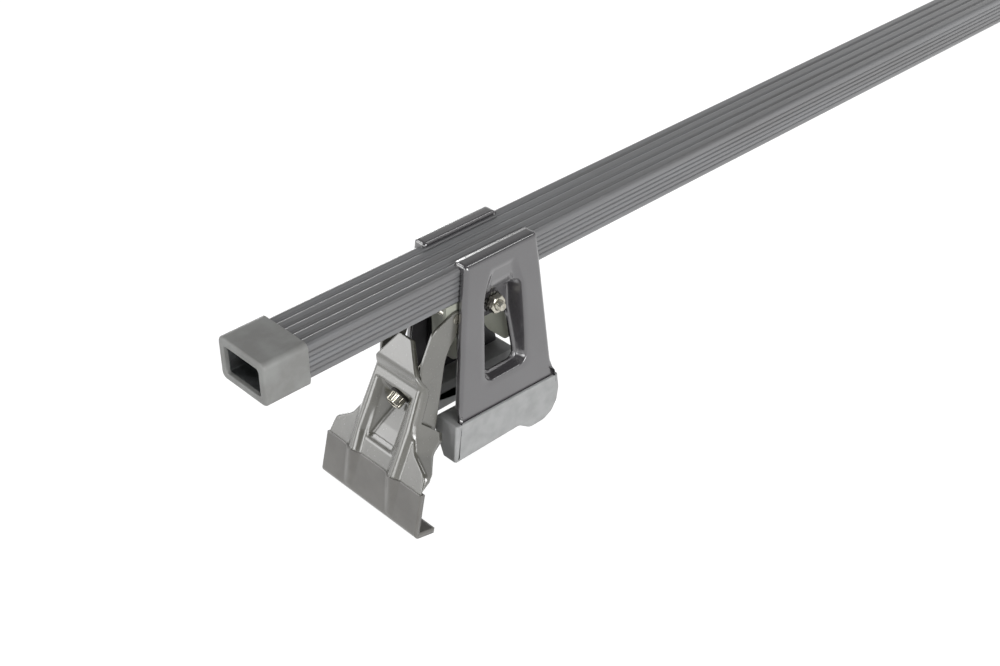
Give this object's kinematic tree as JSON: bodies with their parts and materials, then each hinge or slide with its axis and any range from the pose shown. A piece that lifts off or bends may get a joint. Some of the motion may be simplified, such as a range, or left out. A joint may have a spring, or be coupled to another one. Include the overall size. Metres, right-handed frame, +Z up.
{
  "type": "roof rack crossbar",
  "caption": "Ribbed rectangular roof rack crossbar with capped ends and sliding feet: pressed shells on rubber pads, and a hooked door-frame clamp drawn in by a screw.",
  "frame": {"origin": "under the middle of the bar, on the level of the hook tips that the part stands on", "axes": "+X along the bar, +Y across it towards the car's rear, +Z up"},
  "size_m": [1.18, 0.0836, 0.1488],
  "materials": {
    "tube_zinc": "bare galvanised tube, hidden by its sleeve",
    "sleeve_plastic": "satin ribbed sleeve",
    "cap_plastic": "satin moulded cap",
    "shell_paint": "gloss powder coat",
    "pad_rubber": "matt moulded rubber",
    "zinc": "zinc plated",
    "washer_dark": "dark phosphated",
    "clamp_paint": "satin powder coat",
    "coat_plastic": "dipped soft plastic"
  },
  "bodies": {
    "crossbar": {"steel_tube": "tube_zinc", "bar_sleeve": "sleeve_plastic", "near_end_cap": "cap_plastic", "far_end_cap": "cap_plastic"},
    "near_foot": {"near_front_shell": "shell_paint", "near_back_shell": "shell_paint", "near_front_pad": "pad_rubber", "near_back_pad": "pad_rubber", "near_saddle": "zinc", "near_pivot_pin": "zinc", "near_cross_bolt": "zinc", "near_cross_nut": "zinc", "near_front_washer": "washer_dark", "near_back_washer": "washer_dark"},
    "near_clamp": {"near_clamp_plate": "clamp_paint", "near_clamp_coat": "coat_plastic", "near_seat_washer": "washer_dark"},
    "near_screw": {"near_clamp_screw": "zinc"},
    "near_nut": {"near_swivel_nut": "zinc"},
    "far_foot": {"far_front_shell": "shell_paint", "far_back_shell": "shell_paint", "far_front_pad": "pad_rubber", "far_back_pad": "pad_rubber", "far_saddle": "zinc", "far_pivot_pin": "zinc", "far_cross_bolt": "zinc", "far_cross_nut": "zinc", "far_front_washer": "washer_dark", "far_back_washer": "washer_dark"},
    "far_clamp": {"far_clamp_plate": "clamp_paint", "far_clamp_coat": "coat_plastic", "far_seat_washer": "washer_dark"},
    "far_screw": {"far_clamp_screw": "zinc"},
    "far_nut": {"far_swivel_nut": "zinc"}
  },
  "joints": [
    {"name": "near_foot_slide", "type": "slide", "parent": "crossbar", "child": "near_foot", "axis": [1, 0, 0], "range_m": [-0.094, 0.25]},
    {"name": "near_clamp_swing", "type": "hinge", "parent": "near_foot", "child": "near_clamp", "pos_m": [-0.46, 0, 0.11564], "axis": [0, -1, 0], "range_deg": [-8, 3]},
    {"name": "near_screw_turn", "type": "hinge", "parent": "near_clamp", "child": "near_screw", "pos_m": [-0.48807, 0, 0.06835], "axis": [0.8829, 0, 0.4695], "range_deg": [-1440, 540]},
    {"name": "near_nut_turn", "type": "hinge", "parent": "near_foot", "child": "near_nut", "pos_m": [-0.44659, 0, 0.09041], "axis": [0, -1, 0], "range_deg": [-8, 3]},
    {"name": "far_foot_slide", "type": "slide", "parent": "crossbar", "child": "far_foot", "axis": [-1, 0, 0], "range_m": [-0.094, 0.25]},
    {"name": "far_clamp_swing", "type": "hinge", "parent": "far_foot", "child": "far_clamp", "pos_m": [0.46, 0, 0.11564], "axis": [0, 1, 0], "range_deg": [-8, 3]},
    {"name": "far_screw_turn", "type": "hinge", "parent": "far_clamp", "child": "far_screw", "pos_m": [0.48807, 0, 0.06835], "axis": [-0.8829, 0, 0.4695], "range_deg": [-1440, 540]},
    {"name": "far_nut_turn", "type": "hinge", "parent": "far_foot", "child": "far_nut", "pos_m": [0.44659, 0, 0.09041], "axis": [0, 1, 0], "range_deg": [-8, 3]}
  ],
  "couplings": [
    {"joint": "near_screw_turn", "follows": "near_clamp_swing", "ratio": 179.54},
    {"joint": "near_nut_turn", "follows": "near_clamp_swing", "ratio": 1},
    {"joint": "far_screw_turn", "follows": "far_clamp_swing", "ratio": 179.54},
    {"joint": "far_nut_turn", "follows": "far_clamp_swing", "ratio": 1}
  ]
}
